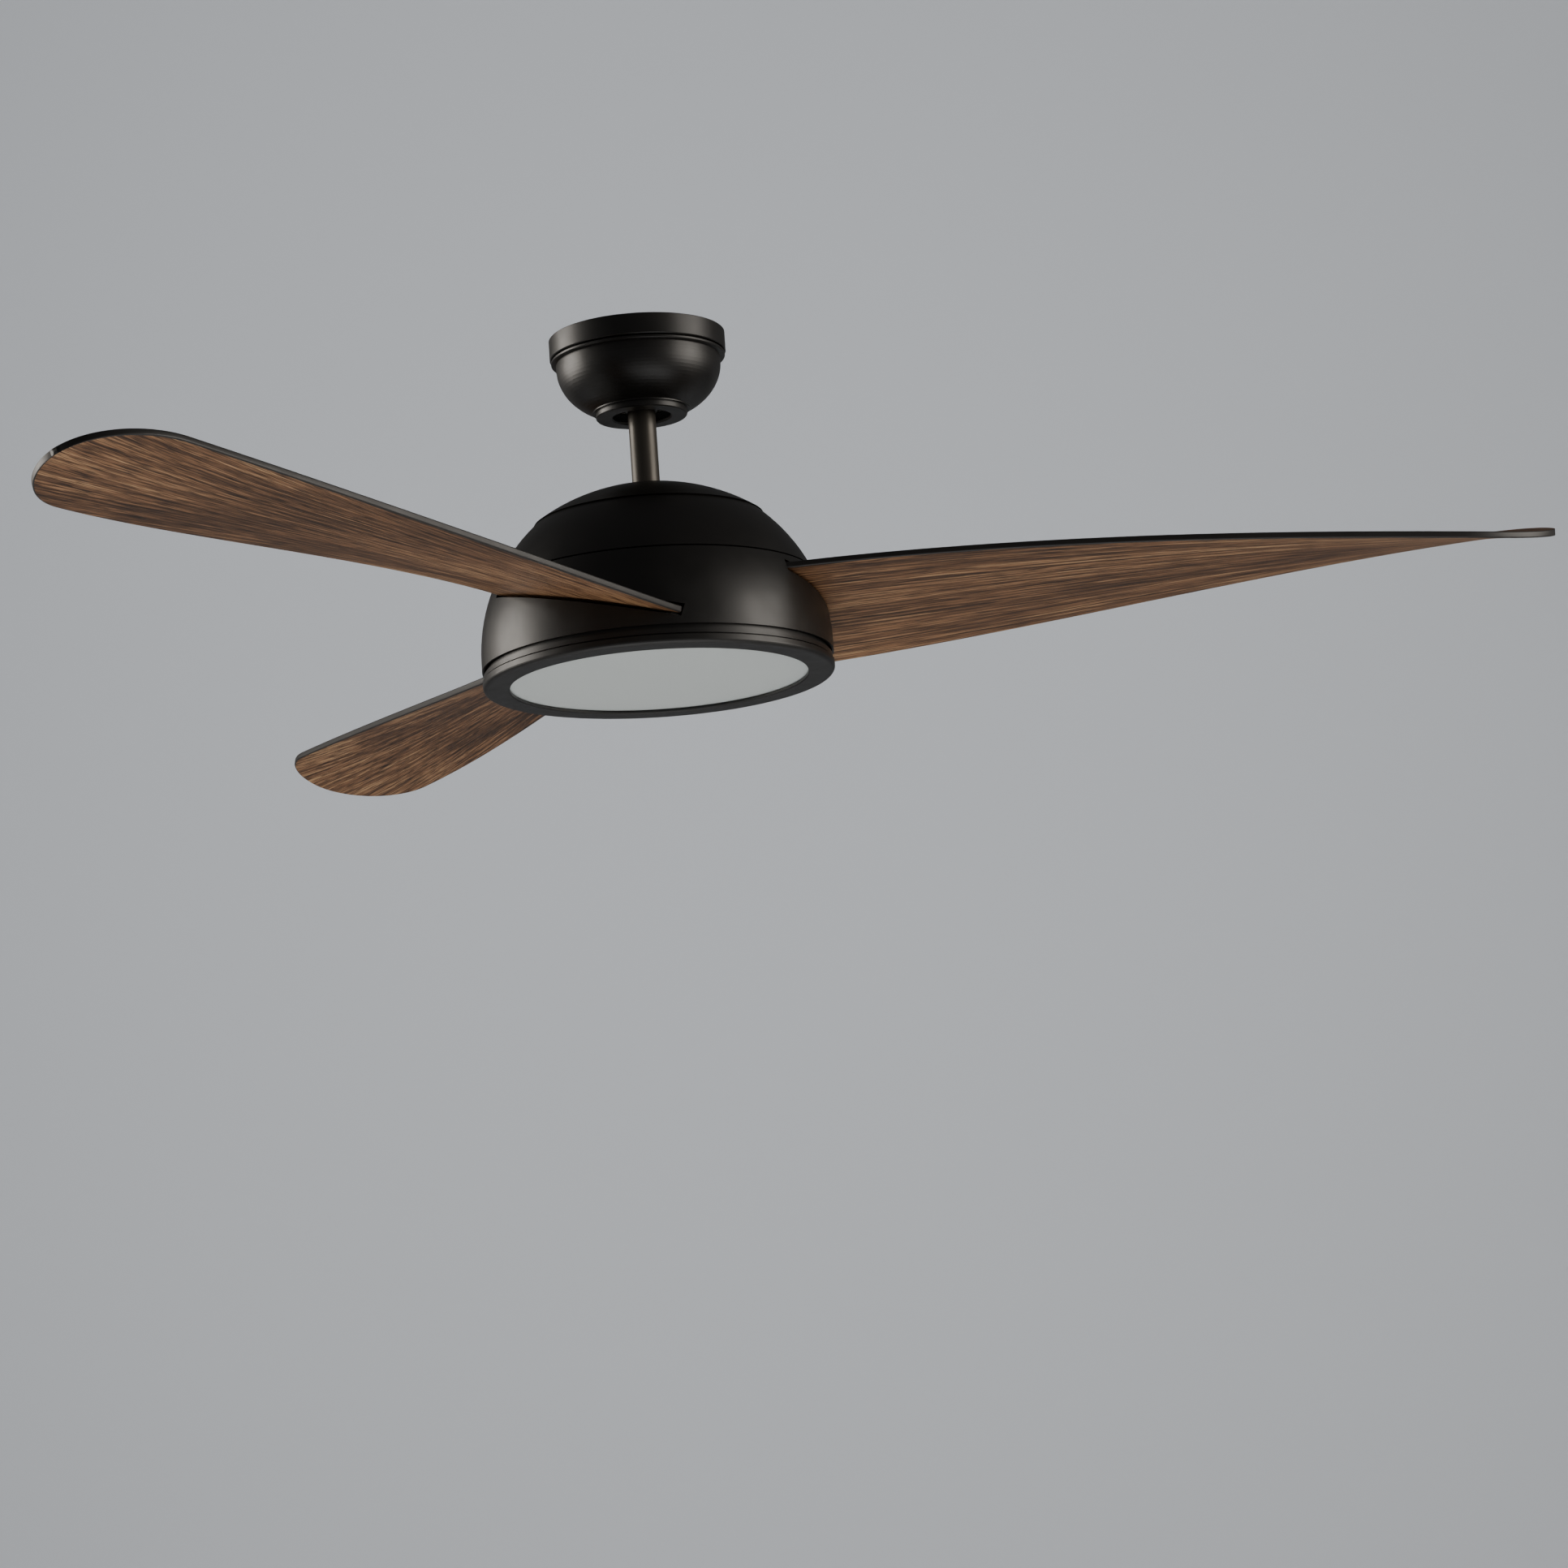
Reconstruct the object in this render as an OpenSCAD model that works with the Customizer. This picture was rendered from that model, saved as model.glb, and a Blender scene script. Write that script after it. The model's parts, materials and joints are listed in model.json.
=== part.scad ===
// Ceiling fan with a flat LED light: three twisted blades through slots in a hemispherical housing.
// Millimetres, +Z up. The origin is on the fan's axis in the ceiling plane, so the fan hangs below it.

/* [Blades] */
// Diameter swept by the blade tips
blade_sweep = 1372; // [1250:1:1600]
// Thickness of a blade
blade_t = 5; // [4:0.5:6]
// Turn of the rotor at rest, about the fan's axis
rotor_turn = -2.5; // [-60:0.5:60]
// Rise across the chord at the root, leading edge up (mm per mm)
root_slope = 0.262; // [0.2:0.002:0.28]
// Rise across the chord at the tip
tip_slope = -0.3; // [-0.36:0.01:0.1]

/* [Housing] */
// Radius of the hemispherical housing
dome_r = 134.4; // [130:0.2:140]
// Sheet thickness of the housing shells
shell_wall = 1.6; // [1.2:0.1:2]
// Radius of the seam between coupling cover and upper housing
cover_seam_r = 87; // [82:0.5:92]
// Rise of the coupling cover above its seam
cover_rise = 26.6; // [24:0.2:32]
// Height by which the coupling cover stands proud of the housing at its seam
cover_step = 0.9; // [0.4:0.1:2]
// Height of the rotating band of the housing
band_h = 53.4; // [52:0.2:58]
// Length of plain rod that shows between canopy and housing
rod_show = 56.6; // [45:0.2:400]

/* [Canopy and hanger] */
// Outer radius of the canopy's screw cover
canopy_r = 68; // [66:0.2:80]
// Height of the canopy, ceiling to its lowest face
canopy_h = 64.8; // [62:0.2:80]
// Radius of the canopy's bottom collar
collar_r = 35.2; // [33:0.1:40]
// Radius of the hole that the rod hangs through
collar_hole_r = 22.4; // [22:0.1:26]
// Radius of the hanger ball
ball_r = 25; // [24:0.5:26]
// Spacing of the two ceiling box screws
box_pitch = 88.9; // [80:0.1:90]
// Outside diameter of the downrod
rod_d = 21.3; // [20:0.1:22]

/* [Motor] */
// Outer radius of the stator
stator_r = 50; // [44:0.5:52]
// Radius of the stator's hub, from which the teeth stand
stator_hub_r = 25; // [20:0.5:28]
// Width of one stator tooth
tooth_w = 5.89; // [4:0.01:7]
// Depth of the tooth tips
tooth_tip = 4; // [3:0.1:6]
// Stack height of the stator
stator_h = 28; // [22:1:30]
// Number of stator teeth
teeth = 12; // [9:3:15]
// Outside diameter of the hollow shaft
shaft_d = 17; // [16:0.5:18]

/* [Light] */
// Radius of the lens that shows
lens_r = 114; // [100:0.5:116]
// Depth of the lens behind the trim ring's face
lens_recess = 3; // [2:0.1:3.4]
// Rings of LEDs on the board
led_rings = 4; // [2:1:5]

/* [Hidden] */
$fn = 96;
// Clearances: running gap, gap between parts that only pass, fit of a pin in its hole
gap = 0.4;
pass = 1.2;
fit = 0.05;

// Levels below the ceiling, all negative
plate_t = 2.5;
ball_z = -38;
collar_z = -canopy_h;
dome_top_z = collar_z - rod_show;
inner_r = dome_r - shell_wall;
cover_z = dome_top_z - cover_rise;
dome_z = cover_z - sqrt(dome_r * dome_r - cover_seam_r * cover_seam_r);
lip_z = dome_z - 8.2;
band_top_z = dome_z + band_h;
upper_lip_z = band_top_z + pass;
rod_r = rod_d / 2;
cover_center_z = (rod_r * rod_r - cover_seam_r * cover_seam_r + dome_top_z * dome_top_z - cover_z * cover_z)
    / (2 * cover_rise);
cover_sphere_r = sqrt(rod_r * rod_r + pow(dome_top_z - cover_center_z, 2));
rod_bore_r = rod_r - 2.75;
rod_top_z = ball_z + 22;
rod_end_z = cover_z - 0.3;
shaft_r = shaft_d / 2;
shaft_bore_r = shaft_r - 3.3;

// Canopy
screw_cover_h = 16.6;
canopy_wall = 1.2;
shoulder_r = canopy_r - 0.8;
bowl_r = canopy_r - 4.5;
bowl_center_r = 14;
bowl_top_z = -24;
bowl_bottom_z = collar_z + 5.6;
bowl_end_a = 61.7;
bowl_half_h = (bowl_top_z - bowl_bottom_z) / sin(bowl_end_a);
canopy_screw_z = -7;
canopy_screw_r = 2;

// Hanger
liner_t = 1.5;
socket_t = 2.4;
liner_in_r = ball_r + fit;
liner_out_r = liner_in_r + liner_t;
socket_in_r = liner_out_r + fit;
socket_out_r = socket_in_r + socket_t;
socket_low_z = ball_z - 19.5;
socket_top_z = ball_z + 1;
hook_gap = 2 * rod_r + 2.5;
arm_y = socket_out_r + 3;
box_hole_r = 2.6;
box_slot = 12;
pin_r = 3;
ball_pin_z = ball_z + 11;
ball_screw_z = ball_z - 15;
ball_screw_l = sqrt(pow(ball_r - 0.5, 2) - 17 * 17 - 4) - rod_r - fit;

// Yoke, motor and rotor levels
seat_z = rod_end_z - 2;
yoke_flange_z = cover_z - 2.2;
yoke_flange_t = 4;
yoke_flange_r = 38;
yoke_r = rod_r + 5.35;
yoke_top_z = cover_z + 18.5;
yoke_pin_z = cover_z + 8.5;
boss_z = yoke_flange_z - yoke_flange_t - 7.3;
housing_screw_r = 28;
case_top_z = boss_z - 2;
case_t = 3;
case_wall = 3;
magnet_t = 5;
air_gap = 1.5;
magnet_in_r = stator_r + air_gap;
magnet_out_r = magnet_in_r + magnet_t;
case_r = magnet_out_r + case_wall;
bearing_r = 17.5;
bearing_w = 10;
hub_r = bearing_r + 4;
core_top_z = case_top_z - 17;
core_low_z = core_top_z - stator_h;
winding_over = 5;
case_low_z = core_low_z - winding_over - 5;
case_split_z = core_top_z - 12;
case_flange_t = 2;
case_flange_r = case_r + 8;
case_screw_r = case_r + 4;
upper_bearing_z = case_top_z - case_t;
lower_bearing_z = case_low_z + case_t - 1.5;
ball_n = 9;
ball_bearing_r = 2.6;
ball_pitch_r = (shaft_r + bearing_r) / 2;
carrier_t = 2;
carrier_z = case_split_z + case_flange_t;
neck_r = sqrt(inner_r * inner_r - pow(carrier_z + carrier_t - dome_z, 2)) - 11.25;
shell_screw_r = neck_r - 4;

// Blades: root just inside the housing, planar there, twisted outside
blade_r = blade_sweep / 2;
blade_n = 3;
tongue_u = case_r + 6;
planar_u = dome_r - 24.4;
iron_pad_l = planar_u - 6.5 - tongue_u;
tip_round = 75;
tip_u = blade_r - tip_round;
root_mid_z = dome_z + 20.6;
blade_rise = 13.5;
trail_root = 88;
lead_root = -73;
tongue_half = 38;
edge_break = 1.2;
blade_pitch_angle = atan(root_slope);
slot_play = 2.2;
iron_t = 3;
blade_screws_uv = [[tongue_u + 12, -20], [tongue_u + 12, 24], [tongue_u + iron_pad_l - 6, 2]];

// Light
pan_top_z = lip_z - 3.3;
pan_r = dome_r - 1.2;
pan_wall = 1.5;
pan_sheet = 1.5;
pan_rise = 11.8;
pan_rise_r = 70;
pan_skirt_r = pan_r - 1.6;
dust_lip_r = inner_r - 2;
dust_lip_h = 6.5;
ring_face_z = pan_top_z - 11.6;
ring_top_z = pan_top_z - 4.5;
ring_r = dome_r;
ring_wall = 1.1;
ring_round = 3.4;
lens_z = ring_face_z + lens_recess;
lens_t = 2;
lens_edge_r = lens_r + 6.5;
lug_n = 3;
lug_w = 4;
lug_travel = 15;
lug_z = ring_top_z - 2.2;
board_z = pan_top_z - pan_sheet;
board_t = 1.2;
shaft_end_z = pan_top_z + pan_rise - pan_sheet - 6;
lead_r = 2.2;
lead_off = 5.3;

// ---- helpers ----

// A tube standing between two levels
module tube(r_out, r_in, low, high) {
    translate([0, 0, low]) difference() {
        cylinder(r = r_out, h = high - low);
        translate([0, 0, -1]) cylinder(r = r_in, h = high - low + 2);
    }
}

// A plain round bar between two levels
module bar(r, low, high) {
    translate([0, 0, low]) cylinder(r = r, h = high - low);
}

// Slice of a spherical shell round the axis, between two levels
module sphere_band(center_z, r_out, r_in, low, high) {
    intersection() {
        translate([0, 0, center_z]) difference() {
            sphere(r = r_out);
            sphere(r = r_in);
        }
        bar(r_out + 5, low, high);
    }
}

// Children copied n times round the axis
module around(n, start = 0) {
    for (i = [0:n - 1]) rotate([0, 0, start + i * 360 / n]) children();
}

// Round bar lying along X, centred
module cross_bar(r, length) {
    rotate([0, 90, 0]) cylinder(r = r, h = length, center = true);
}

// Pan head screw: head above the level z, shank below it
module screw(z, head_r, head_h, shank_r, shank_l) {
    bar(head_r, z, z + head_h);
    bar(shank_r, z - shank_l, z + 0.01);
}

// Blade frame k: X along the blade, Y towards its trailing edge
module blade_frame(k) {
    rotate([0, 0, rotor_turn + 120 * (k - 1)]) children();
}

// Frame of the flat root of a blade: origin on its lower face at the chord's middle
module root_plane() {
    translate([0, root_mid_v, root_mid_z]) rotate([-blade_pitch_angle, 0, 0]) children();
}

// ---- hanger and canopy ----

module slot_x(r, length, h) {
    half = length / 2 - r;
    for (s = [-1, 1]) translate([s * half, 0, -h / 2]) cylinder(r = r, h = h);
    cube([2 * half, 2 * r, h], center = true);
}

module hanger_bracket() color("silver") {
    bar_l = box_pitch + 19;
    difference() {
        union() {
            translate([-bar_l / 2, -17, -plate_t]) cube([bar_l, 34, plate_t]);
            translate([-15, -arm_y - 2.5, -plate_t]) cube([30, 2 * arm_y + 5, plate_t]);
            for (s = [-1, 1]) {
                translate([-13, s > 0 ? arm_y : -arm_y - 2.5, ball_z - 4]) cube([26, 2.5, -ball_z + 4]);
                translate([s * (canopy_r - 8.5) - 1.25, -8, -plate_t - 9]) cube([2.5, 16, plate_t + 9]);
                translate([s > 0 ? bar_l / 2 - 2 : -canopy_r + 7.25, -8, -plate_t])
                    cube([canopy_r - 5.25 - bar_l / 2, 16, plate_t]);
            }
            sphere_band(ball_z, socket_out_r, socket_in_r, socket_low_z, socket_top_z);
            intersection() {
                tube(arm_y + 2, socket_out_r - 0.6, ball_z - 4, ball_z - 1.5);
                translate([-13, -arm_y - 1, ball_z - 5]) cube([26, 2 * arm_y + 2, 6]);
            }
        }
        for (s = [-1, 1]) translate([s * box_pitch / 2, 0, -plate_t / 2]) slot_x(box_hole_r, box_slot, 9);
        bar(14, -plate_t - 1, 1);
        translate([0, -hook_gap / 2, socket_low_z - 1]) cube([60, hook_gap, socket_top_z - socket_low_z + 2]);
        for (s = [-1, 1]) translate([s * (canopy_r - 8.5), 0, canopy_screw_z]) cross_bar(canopy_screw_r + fit, 8);
        translate([-34, 11, -plate_t - 1]) cylinder(r = 2 + fit, h = 5);
    }
}

module ground_screw() color("green")
    translate([-34, 11, 0]) mirror([0, 0, 1]) screw(plate_t, 4, 2.4, 2, plate_t);

module terminal_block() color("ivory") difference() {
    translate([19, -16, -plate_t - 9.4]) cube([13, 32, 9.4]);
    for (j = [-1:1]) translate([25.5, j * 10, -plate_t - 6]) cross_bar(1.8, 20);
    for (j = [-1:1]) translate([25.5, j * 10, -plate_t - 10]) cylinder(r = 2, h = 3);
}

// Point on the bowl's arc, 0 at its widest level; inset moves it inwards
function bowl_point(a, inset) = [
    bowl_center_r + (bowl_r - bowl_center_r - inset) * cos(a),
    bowl_top_z - (bowl_half_h - inset) * sin(a)];
bowl_steps = 16;
bowl_foot_r = bowl_point(bowl_end_a, 0)[0];

module canopy() color("#26231f") {
    outer = [for (i = [0:bowl_steps]) bowl_point(bowl_end_a * i / bowl_steps, 0)];
    inner = [for (i = [bowl_steps:-1:0]) bowl_point(bowl_end_a * i / bowl_steps, canopy_wall)];
    step_z = -screw_cover_h - 0.9;
    difference() {
        rotate_extrude() polygon(concat(
            [[bowl_r, -1], [bowl_r, step_z], [shoulder_r - 0.6, step_z], [shoulder_r, step_z - 0.6],
             [shoulder_r, step_z - 1.9], [shoulder_r - 0.6, step_z - 2.5], [bowl_r, step_z - 3]],
            outer,
            inner,
            [[bowl_r - canopy_wall, -1]]));
        translate([0, 0, canopy_screw_z]) cross_bar(canopy_screw_r + 0.2, 3 * canopy_r);
    }
}

module canopy_collar() color("#2b2824") rotate_extrude() polygon([
    [collar_hole_r, collar_z + 1], [collar_hole_r + 1, collar_z], [collar_r - 0.8, collar_z],
    [collar_r, collar_z + 0.8], [collar_r, bowl_bottom_z - 0.9], [bowl_foot_r, bowl_bottom_z - 0.9],
    [bowl_foot_r, bowl_bottom_z], [collar_r - 2.4, bowl_bottom_z], [collar_r - 2.4, collar_z + 1.8], [collar_hole_r, collar_z + 1.8]]);

module canopy_screws() color("silver")
    for (s = [0, 180]) rotate([0, 0, s]) translate([bowl_r, 0, canopy_screw_z])
        rotate([0, 90, 0]) {
            translate([0, 0, 0.05]) cylinder(r = 3.6, h = 2);
            translate([0, 0, -6]) cylinder(r = canopy_screw_r, h = 6.06);
        }

module canopy_screw_cover() color("#2b2824") rotate_extrude() polygon([
    [bowl_r + gap + 2.6, -0.4], [canopy_r - 0.6, -0.4], [canopy_r, -1], [canopy_r, -screw_cover_h + 0.6],
    [canopy_r - 0.6, -screw_cover_h], [bowl_r + gap, -screw_cover_h],
    [bowl_r + gap, -screw_cover_h + 1.2], [bowl_r + gap + 2.6, -screw_cover_h + 1.2]]);

module socket_liner() color("whitesmoke") difference() {
    sphere_band(ball_z, liner_out_r, liner_in_r, socket_low_z + 1.5, socket_top_z - 1);
    translate([0, -hook_gap / 2, socket_low_z - 1]) cube([60, hook_gap, socket_top_z - socket_low_z + 2]);
}

// ---- hanging part: ball, rod, yoke, housing ----

module hanger_ball() color("#1c1b19") difference() {
    intersection() {
        translate([0, 0, ball_z]) sphere(r = ball_r);
        bar(ball_r + 1, ball_z - 21.5, ball_z + 18);
    }
    bar(rod_r + fit, ball_z - 30, ball_z + 30);
    translate([0, 0, ball_pin_z]) cross_bar(pin_r + fit, 60);
    translate([0, -rod_r - 8, ball_screw_z]) rotate([90, 0, 0]) cylinder(r = 2 + fit, h = 30, center = true);
}

module ball_pin() color("silver") translate([0, 0, ball_pin_z]) cross_bar(pin_r, 2 * ball_r - 8);

module ball_set_screw() color("silver") difference() {
    translate([0, -rod_r - fit, ball_screw_z]) rotate([90, 0, 0]) cylinder(r = 2, h = ball_screw_l);
    translate([0, -rod_r - fit - ball_screw_l / 2, ball_screw_z]) rotate([90, 0, 0])
        cylinder(r = 1.1, h = 8, $fn = 6);
}

module downrod() color("#2e2b27") difference() {
    tube(rod_r, rod_bore_r, rod_end_z, rod_top_z);
    translate([0, 0, ball_pin_z]) cross_bar(pin_r + fit, 60);
    translate([0, 0, yoke_pin_z]) cross_bar(pin_r + fit, 60);
}

module motor_yoke() color("dimgray") difference() {
    union() {
        bar(yoke_r, yoke_flange_z - 1, yoke_top_z);
        bar(yoke_flange_r, yoke_flange_z - yoke_flange_t, yoke_flange_z);
        bar(yoke_r - 1, boss_z, yoke_flange_z);
    }
    bar(rod_r + fit, rod_end_z, yoke_top_z + 1);
    bar(shaft_bore_r + 1.4, rod_end_z - 20, rod_end_z + 1);
    bar(shaft_r + fit, boss_z - 1, seat_z);
    translate([0, 0, yoke_pin_z]) cross_bar(pin_r + fit, 60);
    around(4, 45) translate([housing_screw_r, 0, 0]) bar(2 + fit, yoke_flange_z - 10, yoke_flange_z + 1);
    for (s = [1, -1]) translate([0, s * (rod_r + 4), yoke_pin_z + 5.5]) rotate([90, 0, 0])
        cylinder(r = 1.8 + fit, h = 20, center = true);
}

module yoke_pin() color("silver") translate([0, 0, yoke_pin_z]) difference() {
    union() {
        cross_bar(pin_r, 2 * yoke_r + 12);
        translate([-yoke_r - 6.5, 0, 0]) cross_bar(pin_r + 1.5, 2);
    }
    translate([yoke_r + 3, 0, -10]) cylinder(r = 1 + fit, h = 20);
}

module yoke_cotter() color("gainsboro") translate([yoke_r + 3, 0, yoke_pin_z]) {
    cylinder(r = 0.95, h = 12, center = true);
    translate([0, 0, 7.5]) rotate([90, 0, 0]) rotate_extrude() translate([2, 0]) circle(r = 0.6);
}

module yoke_set_screws() color("silver")
    for (a = [90, -90]) rotate([0, 0, a]) translate([rod_r + fit, 0, yoke_pin_z + 5.5]) rotate([0, 90, 0])
        difference() {
            cylinder(r = 1.8, h = 5);
            translate([0, 0, 3]) cylinder(r = 1, h = 3, $fn = 6);
        }

module coupling_cover() color("#1f1d1a") difference() {
    sphere_band(cover_center_z, cover_sphere_r + cover_step, cover_sphere_r + cover_step - shell_wall,
        cover_z + 0.1, dome_top_z + 3);
    bar(rod_r + gap, cover_z, dome_top_z + 5);
}

module upper_housing() color("#1f1d1a") {
    difference() {
        union() {
            sphere_band(dome_z, dome_r, inner_r, upper_lip_z, cover_z);
            tube(cover_seam_r - 0.5, yoke_r + pass, yoke_flange_z, cover_z);
        }
        around(4, 45) translate([housing_screw_r, 0, 0]) bar(2 + fit, yoke_flange_z - 1, cover_z + 1);
    }
}

module housing_screws() color("silver") around(4, 45) translate([housing_screw_r, 0, 0])
    screw(cover_z, 4, 2.6, 2, cover_z - yoke_flange_z + yoke_flange_t);

module control_module() color("#303436") {
    translate([yoke_flange_r + 3, -26, boss_z + 2]) cube([27, 52, yoke_flange_z - boss_z - 2]);
}

module motor_shaft() color("silver") tube(shaft_r, shaft_bore_r, shaft_end_z, seat_z);

// ---- motor ----

module tooth_outline() {
    tip_half = 180 / teeth - 3;
    translate([stator_hub_r - 5, -tooth_w / 2]) square([stator_r - tooth_tip - stator_hub_r + 5, tooth_w]);
    intersection() {
        difference() {
            circle(r = stator_r);
            circle(r = stator_r - tooth_tip);
        }
        polygon([[0, 0], [2 * stator_r * cos(tip_half), -2 * stator_r * sin(tip_half)],
            [2 * stator_r * cos(tip_half), 2 * stator_r * sin(tip_half)]]);
    }
}

module stator_core() color("slategray") {
    difference() {
        union() {
            translate([0, 0, core_low_z]) linear_extrude(stator_h) difference() {
                union() {
                    circle(r = stator_hub_r);
                    for (i = [0:teeth - 1]) rotate(i * 360 / teeth) tooth_outline();
                }
                circle(r = shaft_r + fit);
            }
            tube(shaft_r + 4, shaft_r + fit, core_low_z - 4, core_low_z);
        }
    }
}

module stator_windings() color("#b4632a") {
    w = tooth_w;
    r_in = stator_hub_r + 3;
    r_len = stator_r - tooth_tip - 0.6 - r_in;
    around(teeth) translate([r_in, 0, core_low_z]) difference() {
        translate([0, -w / 2 - 2.4, -winding_over]) cube([r_len, w + 4.8, stator_h + 2 * winding_over]);
        translate([-1, -w / 2 - 0.1, -0.1]) cube([r_len + 2, w + 0.2, stator_h + 0.2]);
    }
}

module upper_bearing_inner() color("silver") race(upper_bearing_z, true);
module lower_bearing_inner() color("silver") race(lower_bearing_z, true);
module upper_bearing_outer() color("silver") race(upper_bearing_z, false);
module lower_bearing_outer() color("silver") race(lower_bearing_z, false);
module upper_bearing_balls() color("silver") balls(upper_bearing_z);
module lower_bearing_balls() color("silver") balls(lower_bearing_z);

// Bearing ring with its groove, inner or outer, below the level z
module race(z, is_inner) {
    r_low = is_inner ? shaft_r : ball_pitch_r + 1.4;
    r_high = is_inner ? ball_pitch_r - 1.4 : bearing_r;
    difference() {
        tube(r_high, r_low, z - bearing_w, z);
        translate([0, 0, z - bearing_w / 2]) rotate_extrude()
            translate([ball_pitch_r, 0]) circle(r = ball_bearing_r + fit);
    }
}

module balls(z) around(ball_n) translate([ball_pitch_r, 0, z - bearing_w / 2]) sphere(r = ball_bearing_r);

module rotor_upper_case() color("darkgray") difference() {
    union() {
        bar(case_r, case_top_z - case_t, case_top_z);
        tube(case_r, magnet_out_r, case_split_z, case_top_z - case_t);
        tube(case_flange_r, case_r - 0.01, case_split_z, case_split_z + case_flange_t);
        bar(hub_r, upper_bearing_z - bearing_w, case_top_z);
    }
    bar(bearing_r, upper_bearing_z - bearing_w - 1, upper_bearing_z);
    bar(shaft_r + 4, upper_bearing_z - 1, case_top_z + 1);
    around(6) translate([case_screw_r, 0, 0]) bar(1.5 + fit, case_split_z - 1, case_split_z + 5);
}

module rotor_lower_case() color("darkgray") difference() {
    union() {
        bar(case_r, case_low_z, case_low_z + case_t);
        tube(case_r, magnet_out_r, case_low_z + case_t, case_split_z);
        tube(case_flange_r, case_r - 0.01, case_split_z - case_flange_t, case_split_z);
        bar(hub_r, lower_bearing_z - bearing_w, case_low_z + 1);
    }
    bar(bearing_r, lower_bearing_z - bearing_w - 1, lower_bearing_z);
    bar(shaft_r + 4, lower_bearing_z - 1, case_low_z + case_t + 1);
    around(6) translate([case_screw_r, 0, 0]) bar(1.5 + fit, case_split_z - 5, case_split_z + 1);
    around(blade_n, rotor_turn) for (s = [-1, 1]) translate([case_r - 16, s * 9, 0])
        bar(2 + fit, case_low_z - 1, case_low_z + case_t + 1);
}

module rotor_magnets() color("#3c3c3f") {
    n = teeth + 2;
    half = 180 / n - 1.5;
    around(n) difference() {
        tube(magnet_out_r, magnet_in_r, core_low_z - 2, core_top_z + 2);
        for (s = [-1, 1]) rotate([0, 0, s * (half + 90)]) translate([-100, 0, core_low_z - 5])
            cube([200, 100, stator_h + 10]);
        translate([-200, -100, core_low_z - 5]) cube([200, 200, stator_h + 10]);
    }
}

module case_screws() color("silver") around(6) translate([case_screw_r, 0, 0])
    screw(carrier_z + carrier_t, 3, 2, 1.5, carrier_t + 2 * case_flange_t);

// ---- rotating band of the housing ----

module shell_carrier() color("darkgray") {
    window_in = case_flange_r + 4;
    window_out = neck_r - 11;
    difference() {
        tube(neck_r + 1.6, case_r + 0.4, carrier_z, carrier_z + carrier_t);
        around(6) translate([case_screw_r, 0, 0]) bar(1.5 + fit, carrier_z - 1, carrier_z + 5);
        around(6, 30) translate([shell_screw_r, 0, 0]) bar(1.5 + fit, carrier_z - 1, carrier_z + 5);
        around(3) intersection() {
            tube(window_out, window_in, carrier_z - 1, carrier_z + 5);
            translate([0, 0, carrier_z - 1]) linear_extrude(6)
                polygon([[20, 0], [200 * cos(45), 200 * sin(45)], [200, 200], [200 * cos(45), -200 * sin(45)]]);
        }
    }
}

module blade_slot(k) {
    blade_frame(k) root_plane() translate([planar_u - 20, lead_root - root_mid_v - 3, -slot_play])
        cube([80, trail_root - lead_root + 6, blade_t + 2 * slot_play]);
}

module rotor_shell() color("#26231f") difference() {
    rotate_extrude() {
        intersection() {
            translate([0, dome_z]) difference() {
                circle(r = dome_r);
                circle(r = inner_r);
            }
            translate([0, dome_z]) square([dome_r + 1, band_h]);
        }
        translate([inner_r, lip_z]) square([shell_wall, dome_z - lip_z]);
        translate([neck_r - 0.4, band_top_z - 2])
            square([sqrt(inner_r * inner_r - band_h * band_h) + 1.2 - neck_r + 0.4, 2]);
        translate([neck_r - 0.4, band_top_z - 1]) square([2, carrier_z - band_top_z + 1]);
        translate([shell_screw_r - 4, carrier_z - 2]) square([neck_r + 5.6 - shell_screw_r, 2]);
    }
    for (k = [1:blade_n]) blade_slot(k);
    around(6, 30) translate([shell_screw_r, 0, 0]) bar(1.5 + fit, carrier_z - 5, carrier_z + 1);
}

module shell_screws() color("silver") around(6, 30) translate([shell_screw_r, 0, 0])
    screw(carrier_z + carrier_t, 3, 2, 1.5, carrier_t + 2);

// ---- blades ----

// Cubic curve through four control values
function bezier(p, t) =
    p[0] * pow(1 - t, 3) + 3 * p[1] * t * pow(1 - t, 2) + 3 * p[2] * t * t * (1 - t) + p[3] * pow(t, 3);

// Place along the blade, 0 at the end of its flat root and 1 at the tip
function span(u) = max(0, (u - planar_u) / (blade_r - planar_u));
function trail_edge(u) = bezier([trail_root, 78, 36, 30], span(u));
function lead_edge(u) = bezier([lead_root, -82, -110, -70], span(u));
root_mid_v = (trail_root + lead_root) / 2;

// Narrow tongue inside the housing, widening to the full chord before the slot
function widen(u) = u >= planar_u - 8 ? 1 : u <= tongue_u + 22 ? 0
    : (1 - cos(180 * (u - tongue_u - 22) / (planar_u - 30 - tongue_u))) / 2;
function tip_factor(u) = u <= tip_u ? 1 : sqrt(max(0, 1 - pow((u - tip_u) / tip_round, 2)));
function mid_v(u) = widen(u) * (trail_edge(u) + lead_edge(u)) / 2;
function half_v(u) = max(2.5, tip_factor(u)
    * (tongue_half + widen(u) * ((trail_edge(u) - lead_edge(u)) / 2 - tongue_half)));
function slope(u) = root_slope + (tip_slope - root_slope) * pow(span(u), 1.5);
function mid_z(u) = root_mid_z + blade_rise * (1 - pow(1 - span(u), 2))
    + slope(u) * (u < planar_u ? root_mid_v - mid_v(u) : 0);

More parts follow.
